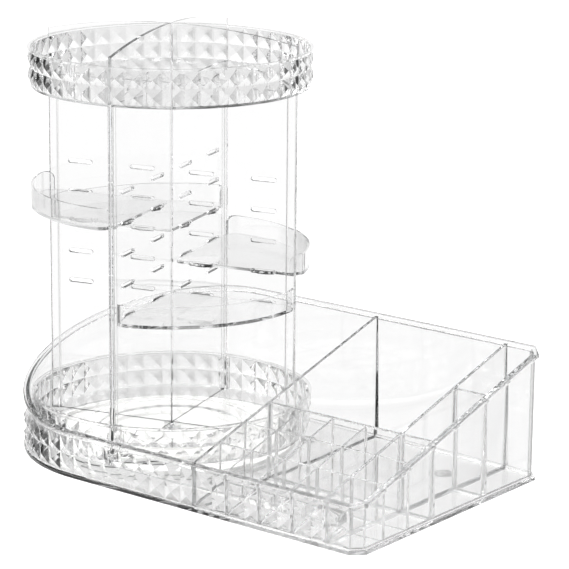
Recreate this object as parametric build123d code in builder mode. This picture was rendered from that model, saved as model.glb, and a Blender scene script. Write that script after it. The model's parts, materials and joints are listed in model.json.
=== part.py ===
from build123d import *

import os
from math import cos, pi, radians, sin, sqrt

# Rotating organizer of clear moulded plastic: a round tower of trays, crossed panels and quarter
# shelves turns on a ball turntable in the bay of a low base, beside open compartments.
# Millimetres, +Z up. X runs along the front, Y towards the tall back wall. The origin is on the
# table, at the middle of the base.

# Round trays of the tower, faceted outside with square pyramids
tray_radius = 115.4  # over the points of the facets
tray_height = 31.2
tray_floor = 2.2
tray_wall = 1.8  # behind the valleys between the facets
tray_band = 1.6  # plain band above and below the facets
facet_depth = 2.4
facet_columns = 48
facet_rows = 2

# Base
bay_gap = 1.9  # between the turning tray and the bay's wall
base_wall = 2.5
base_floor = 3.0
rim_reach = 2.9  # how far rim, plinth and facet points stand out from the wall
rim_height = 4.6
rim_round = 1.6  # outer edges of the rim, which is nearly half-round
rim_inner_round = 0.8
plinth_height = 4.1
plinth_round = 1.3
front_height = 38.6
back_height = 110.6
corner_cut = 10.0
left_facet_columns = 7  # facets that carry on round the left end
facet_root = 1.2  # how deep the facet bands are rooted in the wall
pad_radius = 8.0
pad_thickness = 2.0
pad_proud = 0.8
pad_inset_x = 66.0
pad_inset_y = 48.0

# Compartments to the right of the bay
bay_to_partition = 7.8
divider = 2.8
strip = 1.6
cell_width = 30.4
cell_depth = 29.2
grid_columns = 4
grid_rows = 3
side_column_width = 28.0
side_cell_depth = 67.3
divider_end_gap = 0.15
lap_height = 24.0  # where crossing dividers are halved, above the floor
lap_gap = 0.12
divider_drop = 0.3  # how far the dividers end below the rim

# Ball turntable under the tower
foot_inset = 11.4  # of the foot's edge from the facet points above it
foot_plate = 2.6
foot_rim = 2.0
foot_rim_height = 3.4
foot_ring_gap = 1.0
foot_ring = 2.2
foot_ring_height = 3.2
ball_radius = 3.0
ball_circle = 66.0
ball_count = 12
ball_play = 0.3
cage_width = 12.0
cage_height = 3.4
race_width = 10.0
race_height = 5.1
hub_radius = 8.0
hub_running_gap = 0.09
hub_end_gap = 0.3
boss_wall = 5.0
boss_height = 9.6
web_height = 4.4  # underside of the web that the pivot screw hangs on, above the floor
web = 1.6
screw_radius = 1.75
screw_head_radius = 3.6
screw_head_height = 2.2
screw_head_round = 0.9
recess_length = 4.4  # arms of the cross in the screw's head
recess_width = 1.0
recess_depth = 1.2
screw_depth = 5.5
screw_play = 0.55
thread_play = 0.08
washer_radius = 6.0
washer_thickness = 0.8
washer_play = 1.0

# Crossed panels
panel_angle = 15.67  # of the long panel from the X axis
panel = 3.0
panel_end_gap = 0.3
panel_shoulder = 285.9  # height of the ledge under the top tray, above the bottom tray's floor
panel_end_height = 37.9  # ends of the domed top, above the ledge
dome_rise = 11.5
bead_width = 8.0
bead = 5.0
bead_round = 0.9
halving_height = 150.0
halving_gap = 0.1
guide_rib = 1.8
guide_gap = 0.3
guide_drop = 2.0  # how far the guide ribs end below the rim
slot_length = 22.0
slot_height = 3.6
slot_pitch = 55.0
slot_columns = 4
slot_rows = 5
slot_row_pitch = 25.4
lowest_slot = 110.8  # underside of the lowest slots, above the bottom tray's floor
tray_slot_gap = 0.3

# Quarter shelves
shelf_setback = 1.4  # of the shelf's arc from the facet points
shelf_floor = 2.4
shelf_wall = 2.0
shelf_height = 17.5
shelf_corner = 9.0
shelf_inner_round = 4.0
shelf_return = 9.0  # how far inwards the wall turns back along each panel
shelf_end_round = 7.0  # rounding of the wall's ends
shelf_gap = 0.4  # between a shelf and the panels' beads
tab_radius = 9.5
tab_proud = 2.0

# Worked out from the sizes above
valley_radius = tray_radius - facet_depth
tray_inside = valley_radius * cos(pi / facet_columns) - tray_wall
tray_row_height = (tray_height - 2 * tray_band) / facet_rows

base_half = tray_radius + bay_gap + base_wall + rim_reach
wall_outside = base_half - rim_reach
wall_inside = wall_outside - base_wall
partition_left = tray_radius + bay_to_partition
grid_left = partition_left + divider
column_pitch = cell_width + strip
column_divider_left = grid_left + grid_columns * column_pitch - strip
side_column_left = column_divider_left + divider
right_inside = side_column_left + side_column_width
base_length = base_half + right_inside + base_wall + rim_reach
tower_x = base_half - base_length / 2
floor_bottom = pad_proud
floor_top = floor_bottom + base_floor
plinth_top = floor_bottom + plinth_height
front_inside = -wall_inside
row_pitch = cell_depth + strip
grid_back_front = front_inside + grid_rows * row_pitch - strip
side_divider_front = grid_back_front + divider + side_cell_depth
slope = (back_height - front_height) / (2 * base_half)
pad_spacing_x = base_length / 2 - pad_inset_x
pad_spacing_y = 2 * (base_half - pad_inset_y)

foot_radius = tray_radius - foot_inset
foot_top = floor_top + foot_plate
race_bottom = foot_top + 2 * ball_radius
tray_bottom = race_bottom + race_height
tower_floor = tray_bottom + tray_floor
web_bottom = floor_top + web_height
web_top = web_bottom + web
boss_radius = hub_radius + hub_running_gap + boss_wall

panel_half = tray_inside - panel_end_gap
shoulder = tower_floor + panel_shoulder
panel_ends = shoulder + panel_end_height
panel_top = panel_ends + dome_rise
shelf_radius = tray_radius - shelf_setback
shelf_edge = bead / 2 + shelf_gap
tab_reach = shelf_edge + panel / 2 + tab_proud

tower_axis = Axis((tower_x, 0, 0), (0, 0, 1))
slope_normal = (0, -slope, 1)
slope_top = Plane(origin=(0, -base_half, front_height), x_dir=(1, 0, 0), z_dir=slope_normal)
rim_underside = slope_top.offset(-rim_height / sqrt(1 + slope**2))


def rim_level(y):
    """Height of the sloping top of the base at a place from front to back."""
    return front_height + slope * (y + base_half)


def tower_plane(height, angle=0.0):
    """Level plane on the tower's axis, turned about it."""
    turn = radians(angle)
    return Plane(origin=(tower_x, 0, height), x_dir=(cos(turn), sin(turn), 0), z_dir=(0, 0, 1))


def panel_plane(angle):
    """Upright plane through the tower's axis, with its X outwards and its Y upwards."""
    turn = radians(angle)
    return Plane(origin=(tower_x, 0, 0), x_dir=(cos(turn), sin(turn), 0), z_dir=(sin(turn), -cos(turn), 0))


def base_outline(inset):
    """Plan of the base, inset from its rim: a half-round left end and cut right corners."""
    half = base_half - inset
    right = base_length / 2 - inset
    cut = corner_cut - inset * (2 - sqrt(2))
    with BuildSketch() as outline:
        with BuildLine():
            ThreePointArc((tower_x, half), (tower_x - half, 0), (tower_x, -half))
            Polyline(
                (tower_x, -half),
                (right - cut, -half),
                (right, cut - half),
                (right, half - cut),
                (right - cut, half),
                (tower_x, half),
            )
        make_face()
    return outline.sketch


def facet_ring(plane, tip_radius, depth, row_height):
    """Solid drum with rows of square pyramids all round it.

    Rings that swell and narrow give the slopes above and below each point, and a star-shaped
    outline gives the slopes beside it.
    """
    half_step = pi / facet_columns
    valley = tip_radius - depth
    with BuildPart() as drum:
        for level in range(2 * facet_rows + 1):
            radius = tip_radius / cos(half_step) if level % 2 else valley
            with BuildSketch(plane.offset(level * row_height / 2)):
                RegularPolygon(radius=radius, side_count=facet_columns)
        loft(ruled=True)
        star = []
        for step in range(facet_columns):
            low = 2 * step * half_step
            star.append((valley * cos(low), valley * sin(low)))
            star.append((tip_radius * cos(low + half_step), tip_radius * sin(low + half_step)))
        with BuildSketch(plane):
            with BuildLine():
                Polyline(*star, close=True)
            make_face()
        extrude(amount=facet_rows * row_height, mode=Mode.INTERSECT)
    return drum.part


def faceted_tray(bottom):
    """Round tray with a smooth inside, a faceted outside and plain bands at top and bottom."""
    with BuildPart() as tray:
        add(facet_ring(tower_plane(bottom + tray_band), tray_radius, facet_depth, tray_row_height))
        with BuildSketch(tower_plane(bottom)):
            Circle(valley_radius)
        extrude(amount=tray_band)
        with BuildSketch(tower_plane(bottom + tray_height - tray_band)):
            Circle(tray_radius)
        extrude(amount=tray_band)
        with BuildSketch(tower_plane(bottom + tray_floor)):
            Circle(tray_inside)
        extrude(amount=tray_height, mode=Mode.SUBTRACT)
    return tray.part


# Facets along the straight front wall: upright ridges crossed by lying ridges
facet_bottom = plinth_top
facet_top = front_height - rim_height
base_row_height = (facet_top - facet_bottom) / facet_rows
base_facet_width = 2 * pi * base_half / facet_columns
front_straight = base_length / 2 - corner_cut - tower_x
front_facet_columns = int(front_straight / base_facet_width)
front_facet_length = front_facet_columns * base_facet_width

ridge_plan = [(tower_x, -wall_outside)]
for column in range(front_facet_columns):
    ridge_plan.append((tower_x + (column + 0.5) * base_facet_width, -base_half))
    ridge_plan.append((tower_x + (column + 1) * base_facet_width, -wall_outside))
ridge_profile = [(-wall_outside, facet_bottom)]
for row in range(facet_rows):
    ridge_profile.append((-base_half, facet_bottom + (row + 0.5) * base_row_height))
    ridge_profile.append((-wall_outside, facet_bottom + (row + 1) * base_row_height))
facet_back = facet_root - wall_outside

with BuildPart() as front_facets:
    with BuildSketch(Plane.XY.offset(facet_bottom)):
        with BuildLine():
            ridge_end = (tower_x + front_facet_length, facet_back)
            Polyline(*ridge_plan, ridge_end, (tower_x, facet_back), close=True)
        make_face()
    extrude(amount=facet_top - facet_bottom)
    with BuildSketch(Plane.YZ.offset(tower_x)):
        with BuildLine():
            Polyline(*ridge_profile, (facet_back, facet_top), (facet_back, facet_bottom), close=True)
        make_face()
    extrude(amount=front_facet_length, mode=Mode.INTERSECT)

# The same facets carried round the left end
with BuildPart() as left_facets:
    add(facet_ring(tower_plane(facet_bottom), base_half, rim_reach, base_row_height))
    with BuildSketch(tower_plane(facet_bottom)):
        Circle(wall_outside - facet_root)
    extrude(amount=facet_top - facet_bottom, mode=Mode.SUBTRACT)
    facet_sweep = left_facet_columns * 360 / facet_columns
    with BuildSketch(tower_plane(facet_bottom, -90 - facet_sweep)):
        with BuildLine():
            reach = 2 * base_half
            far = (reach * cos(radians(facet_sweep)), reach * sin(radians(facet_sweep)))
            bow = (reach * cos(radians(facet_sweep / 2)), reach * sin(radians(facet_sweep / 2)))
            Line((0, 0), (reach, 0))
            ThreePointArc((reach, 0), bow, far)
            Line(far, (0, 0))
        make_face()
    extrude(amount=facet_top - facet_bottom, mode=Mode.INTERSECT)

# Plain wall set back between the plinth and the sloping rim
with BuildPart() as wall_recess:
    with BuildSketch(Plane.XY.offset(plinth_top)):
        add(base_outline(-rim_reach))
        add(base_outline(rim_reach), mode=Mode.SUBTRACT)
    extrude(amount=back_height)
    split(bisect_by=rim_underside, keep=Keep.BOTTOM)

with BuildPart() as base_tray:
    with BuildSketch(Plane.XY.offset(floor_bottom)):
        add(base_outline(0))
    extrude(amount=back_height)
    split(bisect_by=slope_top, keep=Keep.BOTTOM)
    add(wall_recess.part, mode=Mode.SUBTRACT)
    with BuildSketch(Plane.XY.offset(floor_top)):
        add(base_outline(rim_reach + base_wall))
    extrude(amount=back_height, mode=Mode.SUBTRACT)
    underside = base_tray.faces().sort_by(Axis.Z)[0]
    ledge = base_tray.faces().filter_by(Axis.Z).sort_by_distance((0, -base_half, plinth_top))[0]
    fillet(underside.outer_wire().edges() + ledge.outer_wire().edges(), radius=plinth_round)
    slope_axis = Axis((0, 0, 0), slope_normal)
    rim_faces = base_tray.faces().filter_by(slope_top).sort_by(slope_axis)
    rim_edges = rim_faces[0].outer_wire().edges() + rim_faces[-1].outer_wire().edges()
    fillet(rim_edges, radius=rim_round)
    rim_top = base_tray.faces().filter_by(slope_top).sort_by(slope_axis)[-1]
    fillet(rim_top.inner_wires().edges(), radius=rim_inner_round)
    add(front_facets.part)
    add(left_facets.part)
    # Ring that keeps the turntable in the middle of the bay
    with BuildSketch(tower_plane(floor_top)):
        Circle(foot_radius + foot_ring_gap + foot_ring)
        Circle(foot_radius + foot_ring_gap, mode=Mode.SUBTRACT)
    extrude(amount=foot_ring_height)
    with BuildSketch(Plane.XY.offset(floor_bottom)):
        with GridLocations(pad_spacing_x, pad_spacing_y, 3, 2):
            Circle(pad_radius)
    extrude(amount=pad_thickness - pad_proud, mode=Mode.SUBTRACT)

with BuildPart() as base_pads:
    with BuildSketch():
        with GridLocations(pad_spacing_x, pad_spacing_y, 3, 2):
            Circle(pad_radius)
    extrude(amount=pad_thickness)

# Dividers: plates along the depth have sloping tops and are halved from below, plates along the
# length have level tops and are halved from above
back_inside = wall_inside
column_rows = [front_inside + (row + 1) * row_pitch - strip / 2 for row in range(grid_rows - 1)]
grid_back_y = grid_back_front + divider / 2
first_strip = tower_x + grid_left + column_pitch - strip / 2
strip_xs = [first_strip + column * column_pitch for column in range(grid_columns - 1)]
column_divider_x = tower_x + column_divider_left + divider / 2
row_start = tower_x + grid_left + divider_end_gap
row_end = tower_x + right_inside - divider_end_gap


def sloping_plate(x, front, back, thickness, crossings):
    """Upright plate along the depth, with a slot from below at each crossing plate."""
    with BuildPart() as plate:
        with BuildSketch(Plane.YZ.offset(x)):
            with BuildLine():
                Polyline(
                    (front, floor_top),
                    (back, floor_top),
                    (back, rim_level(back) - divider_drop),
                    (front, rim_level(front) - divider_drop),
                    close=True,
                )
            make_face()
        extrude(amount=thickness / 2, both=True)
        for place, width in crossings:
            with BuildSketch(Plane.YZ.offset(x)):
                with Locations((place, floor_top)):
                    Rectangle(width + 2 * lap_gap, 2 * lap_height)
            extrude(amount=thickness, both=True, mode=Mode.SUBTRACT)
    return plate.part


def level_plate(y, left, right, thickness, crossings):
    """Upright plate along the length, with a slot from above at each crossing plate."""
    height = rim_level(y) - divider_drop - floor_top
    with BuildPart() as plate:
        with BuildSketch(Plane.XZ.offset(-y)):
            with Locations(((left + right) / 2, floor_top + height / 2)):
                Rectangle(right - left, height)
        extrude(amount=thickness / 2, both=True)
        for place, width in crossings:
            with BuildSketch(Plane.XZ.offset(-y)):
                with Locations((place, floor_top + lap_height + height / 2)):
                    Rectangle(width + 2 * lap_gap, height)
            extrude(amount=thickness, both=True, mode=Mode.SUBTRACT)
    return plate.part


front_end = front_inside + divider_end_gap
back_end = back_inside - divider_end_gap
row_crossings = [(y, strip) for y in column_rows]
strip_crossings = [(x, strip) for x in strip_xs]
column_crossing = (column_divider_x, divider)

with BuildPart() as bay_partition:
    add(sloping_plate(tower_x + partition_left + divider / 2, front_end, back_end, divider, []))

with BuildPart() as column_divider:
    crossings = row_crossings + [(grid_back_y, divider)]
    add(sloping_plate(column_divider_x, front_end, back_end, divider, crossings))

with BuildPart() as grid_back_divider:
    add(level_plate(grid_back_y, row_start, row_end, divider, [column_crossing]))

with BuildPart() as side_cell_divider:
    side_start = tower_x + side_column_left + divider_end_gap
    add(level_plate(side_divider_front + divider / 2, side_start, row_end, divider, []))

# Ball turntable: foot, cage, balls, pivot screw and its washer
with BuildPart() as turntable_foot:
    hub_bore = hub_radius + hub_running_gap
    shank_bore = screw_radius + screw_play
    head_recess = washer_radius + washer_play
    rim_inside = foot_radius - foot_rim
    with BuildSketch(panel_plane(0)):
        with BuildLine():
            Polyline(
                (head_recess, floor_top),
                (foot_radius, floor_top),
                (foot_radius, foot_top + foot_rim_height),
                (rim_inside, foot_top + foot_rim_height),
                (rim_inside, foot_top),
                (boss_radius, foot_top),
                (boss_radius, floor_top + boss_height),
                (hub_bore, floor_top + boss_height),
                (hub_bore, web_top),
                (shank_bore, web_top),
                (shank_bore, web_bottom),
                (head_recess, web_bottom),
                close=True,
            )
        make_face()
    revolve(axis=tower_axis)

with BuildPart() as ball_cage:
    with BuildSketch(tower_plane(foot_top)):
        Circle(ball_circle + cage_width / 2)
        Circle(ball_circle - cage_width / 2, mode=Mode.SUBTRACT)
        with PolarLocations(ball_circle, ball_count):
            Circle(ball_radius + ball_play, mode=Mode.SUBTRACT)
    extrude(amount=cage_height)

with BuildPart() as bearing_balls:
    with Locations(tower_plane(foot_top + ball_radius)):
        with PolarLocations(ball_circle, ball_count):
            Sphere(ball_radius)

with BuildPart() as pivot_washer:
    with BuildSketch(tower_plane(web_bottom - washer_thickness)):
        Circle(washer_radius)
        Circle(screw_radius + screw_play, mode=Mode.SUBTRACT)
    extrude(amount=washer_thickness)

head_top = web_bottom - washer_thickness
screw_tip = web_top + hub_end_gap + screw_depth
with BuildPart() as pivot_screw:
    with BuildSketch(tower_plane(head_top - screw_head_height)):
        Circle(screw_head_radius)
    extrude(amount=screw_head_height)
    fillet(pivot_screw.edges().sort_by(Axis.Z)[0], radius=screw_head_round)
    with BuildSketch(tower_plane(head_top - screw_head_height)):
        Rectangle(recess_length, recess_width)
        Rectangle(recess_width, recess_length)
    extrude(amount=recess_depth, mode=Mode.SUBTRACT)
    with BuildSketch(tower_plane(head_top)):
        Circle(screw_radius)
    extrude(amount=screw_tip - head_top)

with BuildPart() as bottom_tray:
    add(faceted_tray(tray_bottom))
    # Hub that turns in the foot's boss, and the upper race that rides on the balls
    with BuildSketch(tower_plane(web_top + hub_end_gap)):
        Circle(hub_radius)
    extrude(amount=tray_bottom - web_top - hub_end_gap)
    with BuildSketch(tower_plane(race_bottom)):
        Circle(ball_circle + race_width / 2)
        Circle(ball_circle - race_width / 2, mode=Mode.SUBTRACT)
    extrude(amount=race_height)
    with BuildSketch(tower_plane(web_top + hub_end_gap)):
        Circle(screw_radius + thread_play)
    extrude(amount=screw_depth, mode=Mode.SUBTRACT)
    # Pairs of ribs that hold the thick ends of the panels upright
    rib_offset = bead / 2 + guide_gap + guide_rib / 2
    rib_middle = tray_inside - bead_width / 2
    for quarter in range(4):
        with BuildSketch(tower_plane(tower_floor, panel_angle + 90 * quarter)):
            with Locations((rib_middle, rib_offset), (rib_middle, -rib_offset)):
                Rectangle(bead_width, guide_rib)
        extrude(amount=tray_height - tray_floor - guide_drop)


def slotted_panel(angle, notch_bottom, notch_top):
    """Full-width upright panel with a domed top, thick ends, shelf slots and a halving notch."""
    plane = panel_plane(angle)
    slot_middle = tower_floor + lowest_slot + (slot_rows - 1) * slot_row_pitch / 2 + slot_height / 2
    with BuildPart() as sheet:
        with BuildSketch(plane):
            with BuildLine():
                Polyline(
                    (-panel_half, panel_ends),
                    (-panel_half, tower_floor),
                    (panel_half, tower_floor),
                    (panel_half, panel_ends),
                )
                ThreePointArc((panel_half, panel_ends), (0, panel_top), (-panel_half, panel_ends))
            make_face()
            with Locations((0, slot_middle)):
                with GridLocations(slot_pitch, slot_row_pitch, slot_columns, slot_rows):
                    SlotOverall(slot_length, slot_height, mode=Mode.SUBTRACT)
            with Locations((0, (notch_bottom + notch_top) / 2)):
                Rectangle(panel + 2 * halving_gap, notch_top - notch_bottom, mode=Mode.SUBTRACT)
        extrude(amount=panel / 2, both=True)
        with BuildSketch(tower_plane(tower_floor, angle)):
            with GridLocations(2 * panel_half - bead_width, 0, 2, 1):
                RectangleRounded(bead_width, bead, bead_round)
        extrude(amount=panel_shoulder)
    return sheet.part


halving = tower_floor + halving_height
with BuildPart() as long_panel:
    add(slotted_panel(panel_angle, tower_floor - panel, halving))

with BuildPart() as cross_panel:
    add(slotted_panel(panel_angle + 90, halving, panel_top + panel))

with BuildPart() as top_tray:
    add(faceted_tray(shoulder))
    # Crossed slots that let the tray down over the panels onto their ledges
    with BuildSketch(tower_plane(shoulder, panel_angle)):
        slot_width = panel + 2 * tray_slot_gap
        Rectangle(2 * tray_inside, slot_width)
        Rectangle(slot_width, 2 * tray_inside)
    extrude(amount=tray_floor, mode=Mode.SUBTRACT)


def quarter_outline(radius, edge, corner):
    """Quarter plan between two panels, with its outer corners and its inner corner rounded."""
    end = sqrt(radius**2 - edge**2)
    middle = radius * sqrt(0.5)
    with BuildSketch() as quarter:
        with BuildLine():
            Line((edge, edge), (end, edge))
            ThreePointArc((end, edge), (middle, middle), (edge, end))
            Line((edge, end), (edge, edge))
        make_face()
        corners = quarter.vertices().sort_by_distance((0, 0))
        fillet(corners[0], radius=shelf_inner_round)
        fillet(quarter.vertices().sort_by(Axis.X)[-1], radius=corner)
        fillet(quarter.vertices().sort_by(Axis.Y)[-1], radius=corner)
    return quarter.sketch


def quarter_shelf(angle, row):
    """Quarter shelf with a low outer wall and two rounded tabs through each panel."""
    bottom = tower_floor + lowest_slot + (row - 1) * slot_row_pitch
    tab_centre = shelf_edge + tab_radius - tab_reach
    tab_places = [slot_pitch / 2, 3 * slot_pitch / 2]
    open_reach = shelf_radius - shelf_return
    with BuildPart() as shelf:
        with BuildSketch(tower_plane(bottom, angle)):
            add(quarter_outline(shelf_radius, shelf_edge, shelf_corner))
            with Locations(*[(place, tab_centre) for place in tab_places]):
                Circle(tab_radius)
            with Locations(*[(tab_centre, place) for place in tab_places]):
                Circle(tab_radius)
        extrude(amount=shelf_floor)
        with BuildSketch(tower_plane(bottom, angle)):
            add(quarter_outline(shelf_radius, shelf_edge, shelf_corner))
            inside = shelf_edge + shelf_wall
            add(
                quarter_outline(shelf_radius - shelf_wall, inside, shelf_corner - shelf_wall),
                mode=Mode.SUBTRACT,
            )
            Circle(open_reach, mode=Mode.SUBTRACT)
        extrude(amount=shelf_height)
        # The ends of the wall are rounded off at the top
        top = bottom + shelf_height
        round_start = top - shelf_end_round
        round_reach = open_reach + shelf_end_round
        bow = shelf_end_round * sqrt(0.5)
        with BuildSketch(panel_plane(angle)):
            with BuildLine():
                middle = (round_reach - bow, round_start + bow)
                ThreePointArc((open_reach, round_start), middle, (round_reach, top))
                Polyline((round_reach, top), (open_reach, top), (open_reach, round_start))
            make_face()
        revolve(axis=tower_axis, mode=Mode.SUBTRACT)
    return shelf.part


# The shelves climb like a winding stair, one row of slots from quarter to quarter
with BuildPart() as front_shelf:
    add(quarter_shelf(panel_angle - 90, 1))

with BuildPart() as right_shelf:
    add(quarter_shelf(panel_angle, 2))

with BuildPart() as back_shelf:
    add(quarter_shelf(panel_angle + 90, 3))

with BuildPart() as left_shelf:
    add(quarter_shelf(panel_angle + 180, 4))

pieces = {
    "base_tray": base_tray,
    "base_pads": base_pads,
    "bay_partition": bay_partition,
    "column_divider": column_divider,
    "grid_back_divider": grid_back_divider,
    "side_cell_divider": side_cell_divider,
    "turntable_foot": turntable_foot,
    "ball_cage": ball_cage,
    "bearing_balls": bearing_balls,
    "pivot_washer": pivot_washer,
    "pivot_screw": pivot_screw,
    "bottom_tray": bottom_tray,
    "long_panel": long_panel,
    "cross_panel": cross_panel,
    "top_tray": top_tray,
    "front_shelf": front_shelf,
    "right_shelf": right_shelf,
    "back_shelf": back_shelf,
    "left_shelf": left_shelf,
}

os.makedirs("parts", exist_ok=True)
for name, piece in pieces.items():
    piece.part.label = name
    export_step(piece.part, f"parts/{name}.step")

# Strips of the small grid: rows are halved from above, columns from below
for number, y in enumerate(column_rows, start=1):
    with BuildPart() as row_strip:
        add(level_plate(y, row_start, row_end, strip, strip_crossings + [column_crossing]))
    row_strip.part.label = f"grid_row_{number}"
    export_step(row_strip.part, f"parts/grid_row_{number}.step")

strip_end = grid_back_front - divider_end_gap
for number, x in enumerate(strip_xs, start=1):
    with BuildPart() as column_strip:
        add(sloping_plate(x, front_end, strip_end, strip, row_crossings))
    column_strip.part.label = f"grid_column_{number}"
    export_step(column_strip.part, f"parts/grid_column_{number}.step")
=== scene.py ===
"""Looks of the clear rotating organizer: moulded plastic, turntable parts, white table and studio light."""

import json
import logging
import math
from dataclasses import dataclass
from enum import Enum

import bmesh
import bpy
from mathutils import Matrix, Vector


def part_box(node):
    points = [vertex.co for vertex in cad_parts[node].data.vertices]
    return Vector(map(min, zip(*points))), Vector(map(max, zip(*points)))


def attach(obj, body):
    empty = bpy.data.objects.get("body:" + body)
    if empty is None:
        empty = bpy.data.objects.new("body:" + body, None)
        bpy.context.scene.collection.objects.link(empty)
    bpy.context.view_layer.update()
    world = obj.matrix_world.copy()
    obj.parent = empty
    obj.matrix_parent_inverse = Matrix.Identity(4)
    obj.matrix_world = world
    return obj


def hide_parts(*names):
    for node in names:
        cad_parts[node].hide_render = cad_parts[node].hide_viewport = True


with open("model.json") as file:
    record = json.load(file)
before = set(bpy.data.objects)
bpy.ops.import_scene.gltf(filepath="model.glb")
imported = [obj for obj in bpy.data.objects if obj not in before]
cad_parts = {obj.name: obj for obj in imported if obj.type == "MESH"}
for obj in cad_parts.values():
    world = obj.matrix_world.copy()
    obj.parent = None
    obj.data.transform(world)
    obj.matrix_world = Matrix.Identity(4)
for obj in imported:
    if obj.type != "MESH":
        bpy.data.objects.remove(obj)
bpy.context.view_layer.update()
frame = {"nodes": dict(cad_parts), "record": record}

log = logging.getLogger("organizer")

Colour = tuple[float, float, float]
Point = tuple[float, float, float]
Stops = tuple[tuple[float, float], ...]

WELD = 2e-6  # points closer than this, in metres, are one
FLAT = math.radians(0.4)  # faces that turn by less than this are one


class Slot(Enum):
    """Material slots of the record."""

    CLEAR = "clear_plastic"
    WHITE = "white_plastic"
    PAD = "clear_rubber"
    STEEL = "steel"


class Wiring:
    """Adds nodes to one node tree and links them."""

    def __init__(self, tree: bpy.types.NodeTree) -> None:
        """Keep the tree and empty it.

        Args:
            tree: the node tree to fill.
        """
        self.tree = tree
        tree.nodes.clear()

    def add(
            self, kind: str, values: dict[str | int, object] | None = None,
            **settings: object) -> bpy.types.Node:
        """Add a node, set it up and link its inputs.

        Args:
            kind: the node's type.
            values: a plain value or another node's output for each named or numbered input.
            settings: properties of the node itself.

        Returns:
            The new node.
        """
        node = self.tree.nodes.new(kind)
        for name, value in settings.items():
            setattr(node, name, value)
        for key, value in (values or {}).items():
            if isinstance(value, bpy.types.NodeSocket):
                self.tree.links.new(value, node.inputs[key])
            else:
                node.inputs[key].default_value = value
        return node

    def math(self, operation: str, *terms: object) -> bpy.types.NodeSocket:
        """Add a Math node.

        Args:
            operation: its operation.
            terms: its inputs, plain numbers or other nodes' outputs.

        Returns:
            Its result.
        """
        return self.add("ShaderNodeMath", dict(enumerate(terms)), operation=operation).outputs[0]


def new_group(name: str, kind: str, sockets: list[tuple[str, str, str]]) -> tuple[bpy.types.NodeTree, Wiring]:
    """Make a node group with named sockets.

    Args:
        name: the group's name.
        kind: type of its node tree.
        sockets: name, "INPUT" or "OUTPUT" and socket type of each socket.

    Returns:
        The group and its wiring.
    """
    tree = bpy.data.node_groups.new(name, kind)
    for label, side, socket in sockets:
        tree.interface.new_socket(label, in_out=side, socket_type=socket)
    return tree, Wiring(tree)


def new_material(name: str) -> tuple[bpy.types.Material, Wiring]:
    """Make an empty node material.

    Args:
        name: the material's name.

    Returns:
        The material and the wiring of its nodes.
    """
    material = bpy.data.materials.new(name)
    material.use_nodes = True
    return material, Wiring(material.node_tree)


class Effects:
    """Shader node groups that the finishes share."""

    FINER = 24.0  # scale of the grain, as a multiple of the slow unevenness
    WIPED = (0.45, 0.75)  # noise levels at which a wiped patch begins and is full

    def __init__(self) -> None:
        """Build each group once."""
        self.ripple = self.mould_ripple()
        self.haze = self.handling_haze()
        self.mottle = self.colour_mottle()

    @staticmethod
    def mould_ripple() -> bpy.types.NodeTree:
        """Slow unevenness of a moulded face, with a finer grain on it.

        Returns:
            A group that puts out a height.
        """
        number = "NodeSocketFloat"
        tree, wiring = new_group("mould_ripple", "ShaderNodeTree", [
            ("Vector", "INPUT", "NodeSocketVector"), ("Scale", "INPUT", number), ("Grain", "INPUT", number),
            ("Height", "OUTPUT", number)])
        given = wiring.add("NodeGroupInput").outputs
        slow = wiring.add("ShaderNodeTexNoise", {
            "Vector": given["Vector"], "Scale": given["Scale"], "Detail": 1.0})
        fine_scale = wiring.math("MULTIPLY", given["Scale"], Effects.FINER)
        fine = wiring.add("ShaderNodeTexNoise", {
            "Vector": given["Vector"], "Scale": fine_scale, "Detail": 2.0})
        height = wiring.math("MULTIPLY_ADD", fine.outputs[0], given["Grain"], slow.outputs[0])
        wiring.add("NodeGroupOutput", {"Height": height})
        return tree

    @staticmethod
    def handling_haze() -> bpy.types.NodeTree:
        """Faint patches where wiping has dulled a surface.

        Returns:
            A group that puts out a roughness.
        """
        number = "NodeSocketFloat"
        tree, wiring = new_group("handling_haze", "ShaderNodeTree", [
            ("Vector", "INPUT", "NodeSocketVector"), ("Scale", "INPUT", number), ("Clean", "INPUT", number),
            ("Wiped", "INPUT", number), ("Roughness", "OUTPUT", number)])
        given = wiring.add("NodeGroupInput").outputs
        patch = wiring.add("ShaderNodeTexNoise", {
            "Vector": given["Vector"], "Scale": given["Scale"], "Detail": 3.0, "Distortion": 0.6})
        begin, full = Effects.WIPED
        level = wiring.add("ShaderNodeMapRange", {
            "Value": patch.outputs[0], "From Min": begin, "From Max": full,
            "To Min": given["Clean"], "To Max": given["Wiped"]}, interpolation_type="SMOOTHSTEP")
        wiring.add("NodeGroupOutput", {"Roughness": level.outputs[0]})
        return tree

    @staticmethod
    def colour_mottle() -> bpy.types.NodeTree:
        """Slight difference of shade from place to place.

        Returns:
            A group that puts out a colour between two.
        """
        tree, wiring = new_group("colour_mottle", "ShaderNodeTree", [
            ("Vector", "INPUT", "NodeSocketVector"), ("Scale", "INPUT", "NodeSocketFloat"),
            ("Dark", "INPUT", "NodeSocketColor"), ("Light", "INPUT", "NodeSocketColor"),
            ("Color", "OUTPUT", "NodeSocketColor")])
        given = wiring.add("NodeGroupInput").outputs
        spots = wiring.add("ShaderNodeTexNoise", {
            "Vector": given["Vector"], "Scale": given["Scale"], "Detail": 4.0})
        mix = wiring.add("ShaderNodeMix", {
            0: spots.outputs[0], 6: given["Dark"], 7: given["Light"]}, data_type="RGBA")
        wiring.add("NodeGroupOutput", {"Color": mix.outputs[2]})
        return tree


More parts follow.
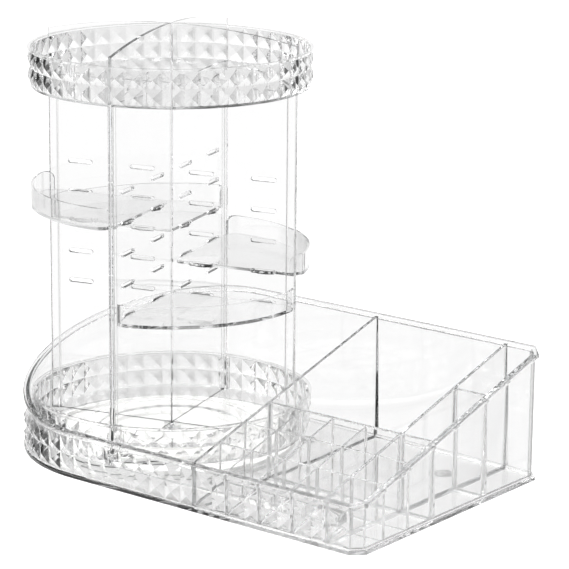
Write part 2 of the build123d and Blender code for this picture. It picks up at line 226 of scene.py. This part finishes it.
@dataclass(frozen=True)
class ClearPlastic:
    """Colourless moulded plastic or rubber."""

    name: str = "clear_moulded_plastic"
    tint: Colour = (1.0, 1.0, 1.0)
    ior: float = 1.55
    transmission: float = 1.0
    shade: float = 0.95
    absorb_colour: Colour = (0.3, 0.33, 0.34)
    absorb_density: float = 1.5
    ripple_scale: float = 18.0
    ripple_depth: float = 0.0004
    haze_scale: float = 14.0
    clean: float = 0.0
    wiped: float = 0.02

    def material(self, effects: Effects) -> bpy.types.Material:
        """Build the material.

        Args:
            effects: the shared node groups.

        Returns:
            The material.
        """
        material, wiring = new_material(self.name)
        place = wiring.add("ShaderNodeTexCoord").outputs["Object"]
        ripple = wiring.add("ShaderNodeGroup", node_tree=effects.ripple)
        ripple.inputs["Scale"].default_value = self.ripple_scale
        wiring.tree.links.new(place, ripple.inputs["Vector"])
        bump = wiring.add("ShaderNodeBump", {
            "Height": ripple.outputs["Height"], "Distance": self.ripple_depth})
        haze = wiring.add("ShaderNodeGroup", node_tree=effects.haze)
        haze.inputs["Scale"].default_value = self.haze_scale
        haze.inputs["Clean"].default_value = self.clean
        haze.inputs["Wiped"].default_value = self.wiped
        wiring.tree.links.new(place, haze.inputs["Vector"])
        shader = wiring.add("ShaderNodeBsdfPrincipled", {
            "Base Color": (*self.tint, 1), "Roughness": haze.outputs["Roughness"], "IOR": self.ior,
            "Transmission Weight": self.transmission, "Normal": bump.outputs[0]})
        through = wiring.add("ShaderNodeBsdfTransparent", {"Color": (self.shade, self.shade, self.shade, 1)})
        path = wiring.add("ShaderNodeLightPath")
        mix = wiring.add("ShaderNodeMixShader", {
            0: path.outputs["Is Shadow Ray"], 1: shader.outputs[0], 2: through.outputs[0]})
        absorb = wiring.add("ShaderNodeVolumeAbsorption", {
            "Color": (*self.absorb_colour, 1), "Density": self.absorb_density})
        wiring.add("ShaderNodeOutputMaterial", {"Surface": mix.outputs[0], "Volume": absorb.outputs[0]})
        return material


@dataclass(frozen=True)
class SolidFinish:
    """Opaque finish of the turntable's parts."""

    name: str
    dark: Colour
    light: Colour
    smooth: float
    rough: float
    mottle_scale: float
    grain_scale: float
    grain_depth: float
    grain: float = 0.6
    metallic: float = 0.0

    def material(self, effects: Effects) -> bpy.types.Material:
        """Build the material.

        Args:
            effects: the shared node groups.

        Returns:
            The material.
        """
        material, wiring = new_material(self.name)
        place = wiring.add("ShaderNodeTexCoord").outputs["Object"]
        mottle = wiring.add("ShaderNodeGroup", node_tree=effects.mottle)
        mottle.inputs["Scale"].default_value = self.mottle_scale
        mottle.inputs["Dark"].default_value = (*self.dark, 1)
        mottle.inputs["Light"].default_value = (*self.light, 1)
        haze = wiring.add("ShaderNodeGroup", node_tree=effects.haze)
        haze.inputs["Scale"].default_value = self.mottle_scale
        haze.inputs["Clean"].default_value = self.smooth
        haze.inputs["Wiped"].default_value = self.rough
        ripple = wiring.add("ShaderNodeGroup", node_tree=effects.ripple)
        ripple.inputs["Scale"].default_value = self.grain_scale
        ripple.inputs["Grain"].default_value = self.grain
        for group in (mottle, haze, ripple):
            wiring.tree.links.new(place, group.inputs["Vector"])
        bump = wiring.add("ShaderNodeBump", {
            "Height": ripple.outputs["Height"], "Distance": self.grain_depth})
        shader = wiring.add("ShaderNodeBsdfPrincipled", {
            "Base Color": mottle.outputs["Color"], "Roughness": haze.outputs["Roughness"],
            "Metallic": self.metallic, "Normal": bump.outputs[0]})
        wiring.add("ShaderNodeOutputMaterial", {"Surface": shader.outputs[0]})
        return material


WHITE_NYLON = SolidFinish(
    "white_nylon", dark=(0.86, 0.86, 0.85), light=(0.92, 0.92, 0.91), smooth=0.32, rough=0.5,
    mottle_scale=40.0, grain_scale=90.0, grain_depth=0.0001)
ZINC_STEEL = SolidFinish(
    "zinc_steel", dark=(0.52, 0.53, 0.55), light=(0.72, 0.73, 0.75), smooth=0.22, rough=0.42,
    mottle_scale=160.0, grain_scale=300.0, grain_depth=0.00005, metallic=1.0)
SOFT_PAD = ClearPlastic(
    "clear_soft_pad", tint=(0.97, 0.97, 0.97), ior=1.43, ripple_scale=60.0, haze_scale=70.0, clean=0.08,
    wiped=0.2)


def grow(name: str, tree: bpy.types.NodeTree, values: dict[str, object]) -> bpy.types.Object:
    """Run a geometry tree and keep its result as a plain mesh.

    Args:
        name: the new object's name.
        tree: the geometry tree.
        values: a value for each named input.

    Returns:
        The object, at the origin, with no modifier.
    """
    piece = bpy.data.objects.new(name, bpy.data.meshes.new(name))
    bpy.context.scene.collection.objects.link(piece)
    modifier = piece.modifiers.new(name, "NODES")
    modifier.node_group = tree
    for item in tree.interface.items_tree:
        if item.item_type == "SOCKET" and item.name in values:
            modifier[item.identifier] = values[item.name]
    settle(piece)
    return piece


def settle(piece: bpy.types.Object) -> None:
    """Turn an object's modifiers into its plain mesh.

    Args:
        piece: the object.
    """
    bpy.context.view_layer.update()
    graph = bpy.context.evaluated_depsgraph_get()
    result = bpy.data.meshes.new_from_object(piece.evaluated_get(graph), depsgraph=graph)
    spent = piece.data
    piece.modifiers.clear()
    piece.data = result
    result.name = piece.name
    bpy.data.meshes.remove(spent)


def merged_copy(node: str, name: str) -> bpy.types.Object:
    """Copy a CAD node's mesh with its loose triangles joined.

    Args:
        node: the node to copy.
        name: the new object's name.

    Returns:
        The copy.
    """
    shell = bmesh.new()
    shell.from_mesh(frame["nodes"][node].data)
    bmesh.ops.remove_doubles(shell, verts=shell.verts, dist=WELD)
    mesh = bpy.data.meshes.new(name)
    shell.to_mesh(mesh)
    shell.free()
    if "custom_normal" in mesh.attributes:
        mesh.attributes.remove(mesh.attributes["custom_normal"])
    piece = bpy.data.objects.new(name, mesh)
    bpy.context.scene.collection.objects.link(piece)
    return piece


def ordered_shell(mesh: bpy.types.Mesh) -> bmesh.types.BMesh:
    """Copy a mesh with its points and faces sorted, because a union lists them in another order each run.

    Args:
        mesh: the mesh.

    Returns:
        The sorted copy.
    """
    points = [tuple(point.co) for point in mesh.vertices]
    order = sorted(range(len(points)), key=points.__getitem__)
    place = {old: new for new, old in enumerate(order)}
    loops = []
    for face in mesh.polygons:
        loop = [place[index] for index in face.vertices]
        first = loop.index(min(loop))
        loops.append(loop[first:] + loop[:first])
    shell = bmesh.new()
    corners = [shell.verts.new(points[index]) for index in order]
    for loop in sorted(loops):
        shell.faces.new([corners[index] for index in loop])
    shell.normal_update()
    return shell


def crisp(piece: bpy.types.Object, angle: float, material: bpy.types.Material) -> None:
    """Shade a piece smooth up to an angle and dress it.

    Args:
        piece: the piece.
        angle: the sharpest edge that stays smooth, in degrees.
        material: its finish.
    """
    piece.data.shade_smooth()
    piece.data.set_sharp_from_angle(angle=math.radians(angle))
    piece.data.materials.clear()
    piece.data.materials.append(material)


@dataclass
class MouldedBase:
    """Base tray whose partition, dividers and grid strips are one moulding."""

    ROUND_STEPS = 4  # faces round each edge of a plate's top

    rounding: float = 0.0006  # of the plates' edges
    sink: float = 0.0013  # of the plates into walls and floor
    corner: float = 0.0026  # radius where plates, walls and floor meet
    strip_corner: float = 0.0011  # the same at the thin strips
    corner_steps: int = 4
    wall_depth: float = 0.0054  # from the outer box to past the inner face of a wall
    slack: float = 0.001
    above_plinth: float = 0.002  # edges lower than this are on the outside
    shortest: float = 0.004  # edges shorter than this stay sharp
    near_square: float = 0.3  # how far from square a corner may be, in radians
    smooth_up_to: float = 24.0  # in degrees

    @staticmethod
    def bar_tree() -> bpy.types.NodeTree:
        """Row of upright plates whose rounded tops follow the slope of the rim.

        Returns:
            The geometry tree.
        """
        number, vector = "NodeSocketFloat", "NodeSocketVector"
        tree, wiring = new_group("divider_bars", "GeometryNodeTree", [
            ("Start", "INPUT", vector), ("End", "INPUT", vector), ("Thickness", "INPUT", number),
            ("Height", "INPUT", number), ("Rounding", "INPUT", number), ("Count", "INPUT", "NodeSocketInt"),
            ("Step", "INPUT", vector), ("Rim", "INPUT", number), ("Slope", "INPUT", number),
            ("Material", "INPUT", "NodeSocketMaterial"), ("Geometry", "OUTPUT", "NodeSocketGeometry")])
        given = wiring.add("NodeGroupInput").outputs
        path = wiring.add("GeometryNodeCurvePrimitiveLine", {"Start": given["Start"], "End": given["End"]})
        section = wiring.add("GeometryNodeCurvePrimitiveQuadrilateral", {
            "Width": given["Thickness"], "Height": given["Height"]})
        soft = wiring.add("GeometryNodeFilletCurve", {
            "Curve": section.outputs[0], "Radius": given["Rounding"]})
        soft.mode = "POLY"
        soft.inputs["Count"].default_value = MouldedBase.ROUND_STEPS
        bar = wiring.add("GeometryNodeCurveToMesh", {
            "Curve": path.outputs[0], "Profile Curve": soft.outputs[0], "Fill Caps": True})
        places = wiring.add("GeometryNodeMeshLine", {"Count": given["Count"], "Offset": given["Step"]})
        row = wiring.add("GeometryNodeInstanceOnPoints", {
            "Points": places.outputs[0], "Instance": bar.outputs[0]})
        solid = wiring.add("GeometryNodeRealizeInstances", {"Geometry": row.outputs[0]})
        spot = wiring.add("ShaderNodeSeparateXYZ", {0: wiring.add("GeometryNodeInputPosition").outputs[0]})
        middle = wiring.add("ShaderNodeSeparateXYZ", {0: given["End"]}).outputs["Z"]
        top = wiring.math("MULTIPLY_ADD", given["Height"], 0.5, middle)
        level = wiring.math("MULTIPLY_ADD", spot.outputs["Y"], given["Slope"], given["Rim"])
        rise = wiring.math("SUBTRACT", level, top)
        upper = wiring.math("GREATER_THAN", spot.outputs["Z"], middle)
        lift = wiring.add("ShaderNodeCombineXYZ", {"Z": rise})
        sloped = wiring.add("GeometryNodeSetPosition", {
            "Geometry": solid.outputs[0], "Selection": upper, "Offset": lift.outputs[0]})
        dressed = wiring.add("GeometryNodeSetMaterial", {
            "Geometry": sloped.outputs[0], "Material": given["Material"]})
        wiring.add("NodeGroupOutput", {"Geometry": dressed.outputs[0]})
        return tree

    def fill_corners(self, mesh: bpy.types.Mesh, radius: float) -> None:
        """Round out the inner corners of the compartments, where plates, walls and floor meet.

        Args:
            mesh: the joined moulding.
            radius: radius of the corners.
        """
        shell = ordered_shell(mesh)
        bmesh.ops.remove_doubles(shell, verts=shell.verts, dist=WELD)
        bmesh.ops.dissolve_limit(shell, angle_limit=FLAT, verts=shell.verts, edges=shell.edges)
        square = math.radians(90)
        low, high = (Vector(c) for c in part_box("base_tray"))
        start = Vector(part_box("bay_partition")[1])
        reach = self.wall_depth - self.slack
        inner = []
        for edge in shell.edges:
            if not edge.is_manifold or edge.is_convex:
                continue
            if abs(edge.calc_face_angle() - square) > self.near_square:
                continue
            spot = (edge.verts[0].co + edge.verts[1].co) / 2
            within = start.x - self.slack < spot.x < high.x - reach and abs(spot.y) < high.y - reach
            if within and spot.z > low.z + self.above_plinth and edge.calc_length() > self.shortest:
                inner.append(edge)
        bmesh.ops.bevel(
            shell, geom=inner, offset=radius, offset_type="OFFSET", segments=self.corner_steps, profile=0.5,
            affect="EDGES", clamp_overlap=False)
        bmesh.ops.triangulate(shell, faces=[face for face in shell.faces if len(face.verts) > 4])
        shell.to_mesh(mesh)
        shell.free()

    @staticmethod
    def join(base: bpy.types.Object, bars: list[bpy.types.Object]) -> None:
        """Fuse plates into the base.

        Args:
            base: the moulding so far.
            bars: the plates, which are used up.
        """
        for bar in bars:
            union = base.modifiers.new(bar.name, "BOOLEAN")
            union.operation = "UNION"
            union.solver = "MANIFOLD"
            union.object = bar
        settle(base)
        for bar in bars:
            spent = bar.data
            bpy.data.objects.remove(bar)
            bpy.data.meshes.remove(spent)

    def build(self, plastic: bpy.types.Material) -> bpy.types.Object:
        """Join the plates to the tray.

        Args:
            plastic: the clear finish.

        Returns:
            The moulding.
        """
        tree = self.bar_tree()
        low, high = (Vector(c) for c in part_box("bay_partition"))
        near = Vector(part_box("grid_column_1")[1])
        slope = (high.z - near.z) / (high.y - near.y)
        rim = high.z - slope * high.y
        along_y, along_x = Vector((0, 1, 0)), Vector((1, 0, 0))
        rows = [
            ("bay_partition", "bay_partition", 1, along_y),
            ("column_divider", "column_divider", 1, along_y),
            ("grid_back_divider", "grid_back_divider", 1, along_x),
            ("side_cell_divider", "side_cell_divider", 1, along_x),
            ("grid_row_1", "grid_row_2", 2, along_x),
            ("grid_column_1", "grid_column_3", 3, along_y)]
        base = merged_copy("base_tray", "moulded_base")
        bars = []
        for first, last, count, along in rows:
            low, high = (Vector(c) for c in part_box(first))
            across = Vector((1, 1, 0)) - along
            size = high - low
            middle = (low + high) / 2
            reach = along * (size.dot(along) / 2 + self.sink)
            deep = size.z + self.sink
            middle.z = low.z - self.sink + deep / 2
            step = Vector((0, 0, 0))
            if count > 1:
                step = across * (Vector(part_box(last)[0]) - low).dot(across) / (count - 1)
            bars.append(grow(f"{first}_bars", tree, {
                "Start": list(middle - reach), "End": list(middle + reach), "Thickness": size.dot(across),
                "Height": deep, "Rounding": self.rounding, "Count": count, "Step": list(step), "Rim": rim,
                "Slope": slope, "Material": plastic}))
        thin = [bar for bar in bars if bar.name.startswith(("grid_row", "grid_column"))]
        self.join(base, [bar for bar in bars if bar not in thin])
        self.fill_corners(base.data, self.corner)
        self.join(base, thin)
        self.fill_corners(base.data, self.strip_corner)
        crisp(base, self.smooth_up_to, plastic)
        even = base.modifiers.new("even", "WEIGHTED_NORMAL")
        even.keep_sharp = True
        settle(base)
        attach(base, "base")
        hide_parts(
            "base_tray", "bay_partition", "column_divider", "grid_back_divider", "side_cell_divider",
            "grid_row_1", "grid_row_2", "grid_column_1", "grid_column_2", "grid_column_3")
        log.info("built %s, %d faces", base.name, len(base.data.polygons))
        return base


@dataclass
class BallRing:
    """Balls that the tower rolls on."""

    count: int = 12
    subdivisions: int = 4

    @staticmethod
    def ring_tree() -> bpy.types.NodeTree:
        """Balls evenly round a circle.

        Returns:
            The geometry tree.
        """
        number = "NodeSocketFloat"
        tree, wiring = new_group("ball_ring", "GeometryNodeTree", [
            ("Count", "INPUT", "NodeSocketInt"), ("Circle", "INPUT", number), ("Ball", "INPUT", number),
            ("Subdivisions", "INPUT", "NodeSocketInt"), ("Middle", "INPUT", "NodeSocketVector"),
            ("Material", "INPUT", "NodeSocketMaterial"), ("Geometry", "OUTPUT", "NodeSocketGeometry")])
        given = wiring.add("NodeGroupInput").outputs
        circle = wiring.add("GeometryNodeMeshCircle", {"Vertices": given["Count"], "Radius": given["Circle"]})
        ball = wiring.add("GeometryNodeMeshIcoSphere", {
            "Radius": given["Ball"], "Subdivisions": given["Subdivisions"]})
        ring = wiring.add("GeometryNodeInstanceOnPoints", {
            "Points": circle.outputs[0], "Instance": ball.outputs[0]})
        solid = wiring.add("GeometryNodeRealizeInstances", {"Geometry": ring.outputs[0]})
        placed = wiring.add("GeometryNodeTransform", {
            "Geometry": solid.outputs[0], "Translation": given["Middle"]})
        smooth = wiring.add("GeometryNodeSetShadeSmooth", {"Geometry": placed.outputs[0]})
        dressed = wiring.add("GeometryNodeSetMaterial", {
            "Geometry": smooth.outputs[0], "Material": given["Material"]})
        wiring.add("NodeGroupOutput", {"Geometry": dressed.outputs[0]})
        return tree

    def build(self, nylon: bpy.types.Material) -> bpy.types.Object:
        """Lay the balls in the cage.

        Args:
            nylon: the white finish.

        Returns:
            The balls.
        """
        low, high = (Vector(c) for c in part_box("bearing_balls"))
        ball = (high.z - low.z) / 2
        balls = grow("bearing_ball_ring", self.ring_tree(), {
            "Count": self.count, "Circle": (high.x - low.x) / 2 - ball, "Ball": ball,
            "Subdivisions": self.subdivisions, "Middle": list((low + high) / 2), "Material": nylon})
        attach(balls, "cage")
        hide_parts("bearing_balls")
        log.info("built %s, %d faces", balls.name, len(balls.data.polygons))
        return balls


@dataclass
class Studio:
    """White table, soft lights and the camera."""

    camera_place: Point = (1.33475, -1.6419, 0.6991)
    azimuth: float = 38.342
    pitch: float = 14.504
    roll: float = 0.531
    focal: float = 2718.1  # in pixels
    image: float = 569.0  # width of the picture in pixels
    sensor: float = 36.0
    far: float = 50.0
    floor_size: float = 30.0
    floor_grey: float = 0.8
    camera_glow: float = 0.3  # of the table as the camera sees it
    glass_glow: float = 0.2  # of the table as reflections see it
    # level by height of the direction, from -1 to 1, and by its compass angle in degrees
    sky: Stops = (
        (-1.0, 0.5), (-0.6, 0.5), (-0.47, 0.6), (-0.38, 1.0), (0.1, 1.0),
        (0.22, 0.74), (0.4, 0.45), (0.6, 0.45), (0.8, 0.9), (1.0, 1.0))
    round_about: Stops = (
        (0.0, 0.5), (20.0, 0.7), (36.0, 1.0), (54.0, 1.0), (59.0, 0.08), (74.0, 0.08), (79.0, 1.0),
        (139.0, 1.0), (144.0, 0.45), (158.0, 0.4), (164.0, 0.03), (198.0, 0.03), (206.0, 0.9),
        (268.0, 0.9), (278.0, 0.03), (338.0, 0.03), (350.0, 0.4), (360.0, 0.5))
    # the same for light that was bent but never reflected
    clear_sky: Stops = (
        (-1.0, 0.86), (-0.6, 0.9), (-0.5, 0.88), (-0.44, 0.84), (-0.38, 1.0), (1.0, 1.0))
    clear_round_about: Stops = (
        (0.0, 1.0), (139.0, 1.0), (144.0, 0.78), (158.0, 0.75), (164.0, 0.95), (360.0, 1.0))
    aim: Point = (0.0, 0.0, 0.1)
    key: float = 10.0
    key_size: float = 1.2
    key_place: Point = (-0.6, 0.5, 1.8)
    fill: float = 4.0
    fill_size: float = 1.0
    fill_place: Point = (1.2, -1.4, 1.6)
    sun: float = 2.6
    sun_angle: float = 50.0
    sun_turn: tuple[float, float] = (25.0, -20.0)
    bounces: int = 128  # light runs a long way inside clear plates
    see_through: int = 64

    def camera(self) -> None:
        """Set the camera where the photograph was taken from."""
        data = bpy.data.cameras.new("camera")
        data.sensor_width = self.sensor
        data.lens = self.focal / self.image * self.sensor
        data.clip_end = self.far
        az, pitch, roll = (math.radians(a) for a in (self.azimuth, self.pitch, self.roll))
        forward = Vector((-math.sin(az) * math.cos(pitch), math.cos(az) * math.cos(pitch), -math.sin(pitch)))
        right = Vector((math.cos(az), math.sin(az), 0))
        up = right.cross(forward)
        right_rolled = right * math.cos(roll) + up * math.sin(roll)
        up_rolled = up * math.cos(roll) - right * math.sin(roll)
        turn = Matrix((right_rolled, up_rolled, -forward)).transposed()
        camera = bpy.data.objects.new("camera", data)
        camera.matrix_world = Matrix.Translation(self.camera_place) @ turn.to_4x4()
        bpy.context.scene.collection.objects.link(camera)
        bpy.context.scene.camera = camera

    def floor(self) -> None:
        """Lay the white table that fades into the background."""
        half = self.floor_size / 2
        mesh = bpy.data.meshes.new("floor")
        corners = [(-half, -half, 0), (half, -half, 0), (half, half, 0), (-half, half, 0)]
        mesh.from_pydata(corners, [], [(0, 1, 2, 3)])
        floor = bpy.data.objects.new("floor", mesh)
        bpy.context.scene.collection.objects.link(floor)
        material, wiring = new_material("white_table")
        path = wiring.add("ShaderNodeLightPath").outputs
        grey = (self.floor_grey, self.floor_grey, self.floor_grey, 1)
        diffuse = wiring.add("ShaderNodeBsdfDiffuse", {"Color": grey})
        seen = wiring.math("MAXIMUM", path["Is Glossy Ray"], path["Is Transmission Ray"])
        direct = wiring.math("MULTIPLY", path["Is Camera Ray"], self.camera_glow)
        level = wiring.math("MULTIPLY_ADD", seen, self.glass_glow, direct)
        glow = wiring.add("ShaderNodeEmission", {"Strength": level})
        both = wiring.add("ShaderNodeAddShader", {0: diffuse.outputs[0], 1: glow.outputs[0]})
        wiring.add("ShaderNodeOutputMaterial", {"Surface": both.outputs[0]})
        mesh.materials.append(material)
        floor.visible_transmission = False

    @staticmethod
    def ramp(
            wiring: Wiring, source: bpy.types.NodeSocket,
            stops: list[tuple[float, float]]) -> bpy.types.NodeSocket:
        """Add a ramp of grey levels.

        Args:
            wiring: the tree's wiring.
            source: what the ramp reads, from 0 to 1.
            stops: place and level of each stop, in order.

        Returns:
            The ramp's colour.
        """
        node = wiring.add("ShaderNodeValToRGB", {0: source})
        elements = node.color_ramp.elements
        for index, (place, level) in enumerate(stops):
            stop = elements[index] if index < 2 else elements.new(place)
            stop.position = place
            stop.color = (level, level, level, 1)
        return node.outputs[0]

    def backdrop(
            self, wiring: Wiring, way: bpy.types.NodeSocket, sky: Stops,
            ring: Stops) -> bpy.types.NodeSocket:
        """Add a surround whose level changes with height and round about.

        Args:
            wiring: the world's wiring.
            way: the direction looked in.
            sky: stops of the level by height, from -1 to 1.
            ring: stops of the level by compass angle, in degrees.

        Returns:
            The surround's light.
        """
        parts = wiring.add("ShaderNodeSeparateXYZ", {0: way}).outputs
        height = wiring.math("MULTIPLY_ADD", parts["Z"], 0.5, 0.5)
        column = self.ramp(wiring, height, [((z + 1) / 2, v) for z, v in sky])
        turn = wiring.math("DIVIDE", wiring.math("ARCTAN2", parts["Y"], parts["X"]), 2 * math.pi)
        around = self.ramp(wiring, wiring.math("FRACT", turn), [(a / 360, v) for a, v in ring])
        return wiring.add("ShaderNodeBackground", {"Color": column, "Strength": around}).outputs[0]

    def world(self) -> None:
        """Surround of the clear plastic: white straight through, with dark flags in its reflections."""
        world = bpy.data.worlds.new("studio")
        bpy.context.scene.world = world
        world.use_nodes = True
        wiring = Wiring(world.node_tree)
        way = wiring.add("ShaderNodeTexCoord").outputs["Generated"]
        path = wiring.add("ShaderNodeLightPath").outputs
        flagged = self.backdrop(wiring, way, self.sky, self.round_about)
        clear = self.backdrop(wiring, way, self.clear_sky, self.clear_round_about)
        turned = wiring.math("GREATER_THAN", path["Glossy Depth"], 0.5)
        seen = wiring.math("MAXIMUM", turned, path["Is Diffuse Ray"])
        around = wiring.add("ShaderNodeMixShader", {0: seen, 1: clear, 2: flagged})
        white = wiring.add("ShaderNodeBackground", {"Color": (1, 1, 1, 1)})
        mix = wiring.add("ShaderNodeMixShader", {
            0: path["Is Camera Ray"], 1: around.outputs[0], 2: white.outputs[0]})
        wiring.add("ShaderNodeOutputWorld", {"Surface": mix.outputs[0]})

    def lamp(self, name: str, place: Point, size: float, power: float) -> None:
        """Hang a soft square lamp that faces the object.

        Args:
            name: the lamp's name.
            place: where it hangs.
            size: side of the square.
            power: in watts.
        """
        data = bpy.data.lights.new(name, "AREA")
        data.shape = "SQUARE"
        data.size = size
        data.energy = power
        lamp = bpy.data.objects.new(name, data)
        lamp.location = place
        lamp.rotation_euler = (Vector(self.aim) - Vector(place)).to_track_quat("-Z", "Y").to_euler()
        bpy.context.scene.collection.objects.link(lamp)

    def set_up(self) -> None:
        """Make floor, world, lamps and camera."""
        self.floor()
        self.world()
        self.lamp("key", self.key_place, self.key_size, self.key)
        self.lamp("fill", self.fill_place, self.fill_size, self.fill)
        data = bpy.data.lights.new("sun", "SUN")
        data.energy = self.sun
        data.angle = math.radians(self.sun_angle)
        sun = bpy.data.objects.new("sun", data)
        sun.rotation_euler = (*(math.radians(a) for a in self.sun_turn), 0)
        bpy.context.scene.collection.objects.link(sun)
        self.camera()
        scene = bpy.context.scene
        scene.view_settings.view_transform = "Standard"
        scene.cycles.max_bounces = self.bounces
        scene.cycles.transmission_bounces = self.bounces
        scene.cycles.glossy_bounces = self.bounces
        scene.cycles.transparent_max_bounces = self.see_through


def main() -> None:
    """Dress every piece and set up the picture."""
    logging.basicConfig(level=logging.INFO)
    effects = Effects()
    clear = ClearPlastic().material(effects)
    nylon = WHITE_NYLON.material(effects)
    finishes = {
        Slot.CLEAR.value: clear, Slot.WHITE.value: nylon, Slot.STEEL.value: ZINC_STEEL.material(effects),
        Slot.PAD.value: SOFT_PAD.material(effects)}
    slots = {row["node"]: row["material_slot"] for row in frame["record"]["subparts"]}
    for name, node in frame["nodes"].items():
        node.data.materials.clear()
        node.data.materials.append(finishes[slots[name]])
        log.info("dressed %s", name)
    MouldedBase().build(clear)
    BallRing().build(nylon)
    Studio().set_up()


if __name__ == "__main__":
    main()
